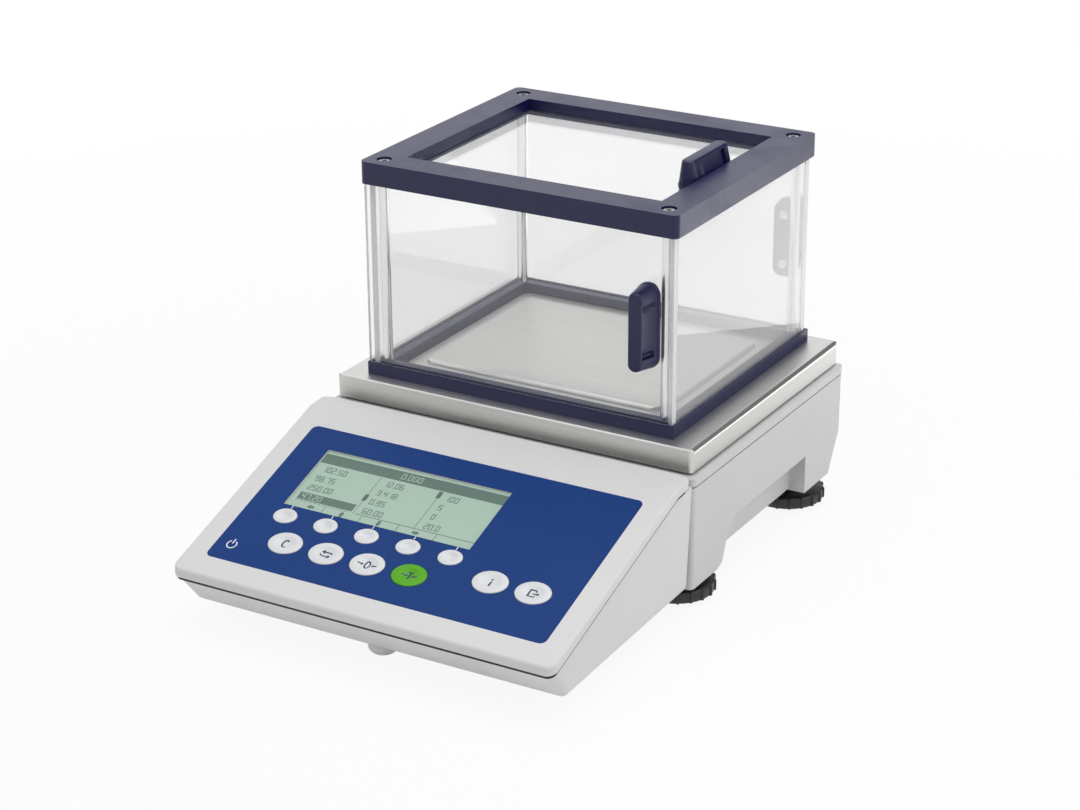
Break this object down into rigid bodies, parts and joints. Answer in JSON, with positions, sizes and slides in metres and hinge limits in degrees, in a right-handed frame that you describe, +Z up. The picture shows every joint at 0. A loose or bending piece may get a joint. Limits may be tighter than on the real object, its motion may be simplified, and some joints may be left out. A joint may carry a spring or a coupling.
{
  "type": "precision balance",
  "caption": "Compact precision balance: low base on levelling feet, sloped key and display terminal, stainless pan inside a glass draft shield with sliding doors.",
  "frame": {"origin": "on the table under the middle of the overall box", "axes": "+Z up, +X to the right seen from the terminal's front, +Y to the back"},
  "size_m": [0.256, 0.3728, 0.246],
  "materials": {
    "shield_navy": "satin navy",
    "clear_glass": "clear",
    "polished_steel": "polished",
    "screw_steel": "turned",
    "brushed_plate": "brushed",
    "cell_aluminium": "milled",
    "pale_grey_paint": "pale grey powder coat on cast aluminium",
    "pale_grey_plastic": "fine grain",
    "seal_rubber": "matt black",
    "black_plastic": "satin black",
    "board_green": "solder mask",
    "panel_blue": "printed foil",
    "display_glass": "clear",
    "display_body": "display green",
    "key_white": "satin",
    "key_green": "satin"
  },
  "bodies": {
    "base": {"shield_top_frame": "shield_navy", "shield_bottom_frame": "shield_navy", "shield_rods": "polished_steel", "rod_screws": "screw_steel", "left_pane": "clear_glass", "right_pane": "clear_glass", "load_plate": "brushed_plate", "plate_posts": "screw_steel", "plate_screws": "screw_steel", "cell_block": "cell_aluminium", "base_cover": "pale_grey_paint", "base_housing": "pale_grey_paint", "power_inlet": "black_plastic", "data_port": "black_plastic", "power_board": "board_green", "link_cable": "seal_rubber", "assembly_screws": "screw_steel", "terminal_cover": "pale_grey_plastic", "terminal_shell": "pale_grey_plastic", "terminal_gasket": "seal_rubber", "terminal_bracket": "cell_aluminium", "keypad_panel": "panel_blue", "display_window": "display_glass", "display_module": "display_body", "main_board": "board_green", "key_switches": "black_plastic"},
    "front_door": {"front_pane": "clear_glass", "front_handle": "shield_navy", "front_backing": "shield_navy", "front_handle_screws": "screw_steel"},
    "rear_door": {"rear_pane": "clear_glass", "rear_handle": "shield_navy", "rear_backing": "shield_navy", "rear_handle_screws": "screw_steel"},
    "top_door": {"top_pane": "clear_glass", "top_handle": "shield_navy", "top_backing": "shield_navy", "top_handle_screws": "screw_steel"},
    "receiver": {"load_hanger": "cell_aluminium", "pan_support": "cell_aluminium"},
    "pan": {"weighing_pan": "brushed_plate"},
    "foot_front_left": {"pad_front_left": "seal_rubber"},
    "leveller_front_left": {"knob_front_left": "black_plastic"},
    "foot_front_right": {"pad_front_right": "seal_rubber"},
    "leveller_front_right": {"knob_front_right": "black_plastic"},
    "foot_rear_left": {"pad_rear_left": "seal_rubber"},
    "leveller_rear_left": {"knob_rear_left": "black_plastic"},
    "foot_rear_right": {"pad_rear_right": "seal_rubber"},
    "leveller_rear_right": {"knob_rear_right": "black_plastic"},
    "soft_key_1_body": {"soft_key_1": "key_white"},
    "soft_key_2_body": {"soft_key_2": "key_white"},
    "soft_key_3_body": {"soft_key_3": "key_white"},
    "soft_key_4_body": {"soft_key_4": "key_white"},
    "soft_key_5_body": {"soft_key_5": "key_white"},
    "clear_key_body": {"clear_key": "key_white"},
    "switch_key_body": {"switch_key": "key_white"},
    "zero_key_body": {"zero_key": "key_white"},
    "tare_key_body": {"tare_key": "key_green"},
    "info_key_body": {"info_key": "key_white"},
    "transfer_key_body": {"transfer_key": "key_white"}
  },
  "joints": [
    {"name": "front_door_slide", "type": "slide", "parent": "base", "child": "front_door", "axis": [-1, 0, 0], "range_m": [0, 0.15]},
    {"name": "rear_door_slide", "type": "slide", "parent": "base", "child": "rear_door", "axis": [-1, 0, 0], "range_m": [0, 0.15]},
    {"name": "top_door_slide", "type": "slide", "parent": "base", "child": "top_door", "axis": [-1, 0, 0], "range_m": [0, 0.14]},
    {"name": "load_deflection", "type": "slide", "parent": "base", "child": "receiver", "axis": [0, 0, 1], "range_m": [-0.0004, 0.0002], "stiffness_N_per_m": 60000, "springref_m": 0.00008},
    {"name": "pan_lift", "type": "slide", "parent": "receiver", "child": "pan", "axis": [0, 0, 1], "range_m": [0, 0.05]},
    {"name": "front_left_foot_height", "type": "slide", "parent": "base", "child": "foot_front_left", "axis": [0, 0, 1], "range_m": [-0.006, 0.003]},
    {"name": "front_left_knob_turn", "type": "hinge", "parent": "foot_front_left", "child": "leveller_front_left", "pos_m": [-0.104, -0.00275, 0.007], "axis": [0, 0, 1], "range_deg": [-1730, 866]},
    {"name": "front_right_foot_height", "type": "slide", "parent": "base", "child": "foot_front_right", "axis": [0, 0, 1], "range_m": [-0.006, 0.003]},
    {"name": "front_right_knob_turn", "type": "hinge", "parent": "foot_front_right", "child": "leveller_front_right", "pos_m": [0.104, -0.00275, 0.007], "axis": [0, 0, 1], "range_deg": [-1730, 866]},
    {"name": "rear_left_foot_height", "type": "slide", "parent": "base", "child": "foot_rear_left", "axis": [0, 0, 1], "range_m": [-0.006, 0.003]},
    {"name": "rear_left_knob_turn", "type": "hinge", "parent": "foot_rear_left", "child": "leveller_rear_left", "pos_m": [-0.104, 0.14925, 0.007], "axis": [0, 0, 1], "range_deg": [-1730, 866]},
    {"name": "rear_right_foot_height", "type": "slide", "parent": "base", "child": "foot_rear_right", "axis": [0, 0, 1], "range_m": [-0.006, 0.003]},
    {"name": "rear_right_knob_turn", "type": "hinge", "parent": "foot_rear_right", "child": "leveller_rear_right", "pos_m": [0.104, 0.14925, 0.007], "axis": [0, 0, 1], "range_deg": [-1730, 866]},
    {"name": "soft_key_1_press", "type": "slide", "parent": "base", "child": "soft_key_1_body", "axis": [0, 0.3251, -0.9457], "range_m": [0, 0.0006], "stiffness_N_per_m": 5000, "springref_m": -0.0001},
    {"name": "soft_key_2_press", "type": "slide", "parent": "base", "child": "soft_key_2_body", "axis": [0, 0.3251, -0.9457], "range_m": [0, 0.0006], "stiffness_N_per_m": 5000, "springref_m": -0.0001},
    {"name": "soft_key_3_press", "type": "slide", "parent": "base", "child": "soft_key_3_body", "axis": [0, 0.3251, -0.9457], "range_m": [0, 0.0006], "stiffness_N_per_m": 5000, "springref_m": -0.0001},
    {"name": "soft_key_4_press", "type": "slide", "parent": "base", "child": "soft_key_4_body", "axis": [0, 0.3251, -0.9457], "range_m": [0, 0.0006], "stiffness_N_per_m": 5000, "springref_m": -0.0001},
    {"name": "soft_key_5_press", "type": "slide", "parent": "base", "child": "soft_key_5_body", "axis": [0, 0.3251, -0.9457], "range_m": [0, 0.0006], "stiffness_N_per_m": 5000, "springref_m": -0.0001},
    {"name": "clear_key_press", "type": "slide", "parent": "base", "child": "clear_key_body", "axis": [0, 0.3251, -0.9457], "range_m": [0, 0.0006], "stiffness_N_per_m": 5000, "springref_m": -0.0001},
    {"name": "switch_key_press", "type": "slide", "parent": "base", "child": "switch_key_body", "axis": [0, 0.3251, -0.9457], "range_m": [0, 0.0006], "stiffness_N_per_m": 5000, "springref_m": -0.0001},
    {"name": "zero_key_press", "type": "slide", "parent": "base", "child": "zero_key_body", "axis": [0, 0.3251, -0.9457], "range_m": [0, 0.0006], "stiffness_N_per_m": 5000, "springref_m": -0.0001},
    {"name": "tare_key_press", "type": "slide", "parent": "base", "child": "tare_key_body", "axis": [0, 0.3251, -0.9457], "range_m": [0, 0.0006], "stiffness_N_per_m": 5000, "springref_m": -0.0001},
    {"name": "info_key_press", "type": "slide", "parent": "base", "child": "info_key_body", "axis": [0, 0.3251, -0.9457], "range_m": [0, 0.0006], "stiffness_N_per_m": 5000, "springref_m": -0.0001},
    {"name": "transfer_key_press", "type": "slide", "parent": "base", "child": "transfer_key_body", "axis": [0, 0.3251, -0.9457], "range_m": [0, 0.0006], "stiffness_N_per_m": 5000, "springref_m": -0.0001}
  ],
  "couplings": [
    {"joint": "front_left_knob_turn", "follows": "front_left_foot_height", "rad_per_m": 5026.5},
    {"joint": "front_right_knob_turn", "follows": "front_right_foot_height", "rad_per_m": 5026.5},
    {"joint": "rear_left_knob_turn", "follows": "rear_left_foot_height", "rad_per_m": 5026.5},
    {"joint": "rear_right_knob_turn", "follows": "rear_right_foot_height", "rad_per_m": 5026.5}
  ]
}
